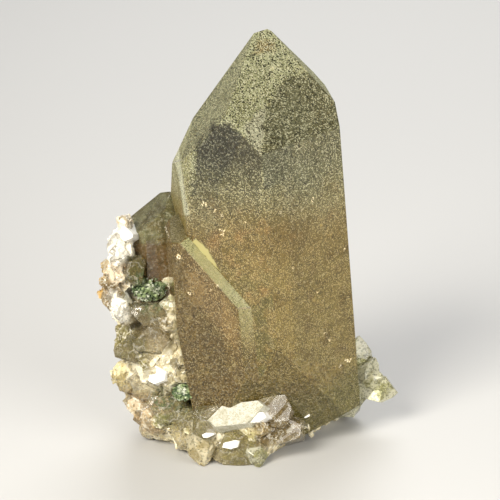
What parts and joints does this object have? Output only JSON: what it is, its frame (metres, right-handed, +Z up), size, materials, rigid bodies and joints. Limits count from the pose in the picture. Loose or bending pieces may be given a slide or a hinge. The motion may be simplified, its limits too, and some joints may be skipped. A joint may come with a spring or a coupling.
{
  "type": "smoky quartz crystal",
  "caption": "Stout smoky quartz crystal with a blunt point, standing on a crust of small pale quartz crystals with green chlorite in its hollows.",
  "frame": {"origin": "the point on the flat cut underside where the main crystal's long axis meets it", "axes": "+Z up, close to the main crystal's long axis; -Y faces the viewer of the picture; +X to the viewer's right"},
  "size_m": [0.0571, 0.0388, 0.0789],
  "materials": {
    "smoky_quartz": "glassy crystal faces, speckled inside with fine chlorite dust",
    "chlorite": "dull, earthy grains"
  },
  "bodies": {
    "root": {"quartz_cluster": "smoky_quartz", "chlorite_left_pocket": "chlorite", "chlorite_lower_pocket": "chlorite"}
  },
  "joints": []
}
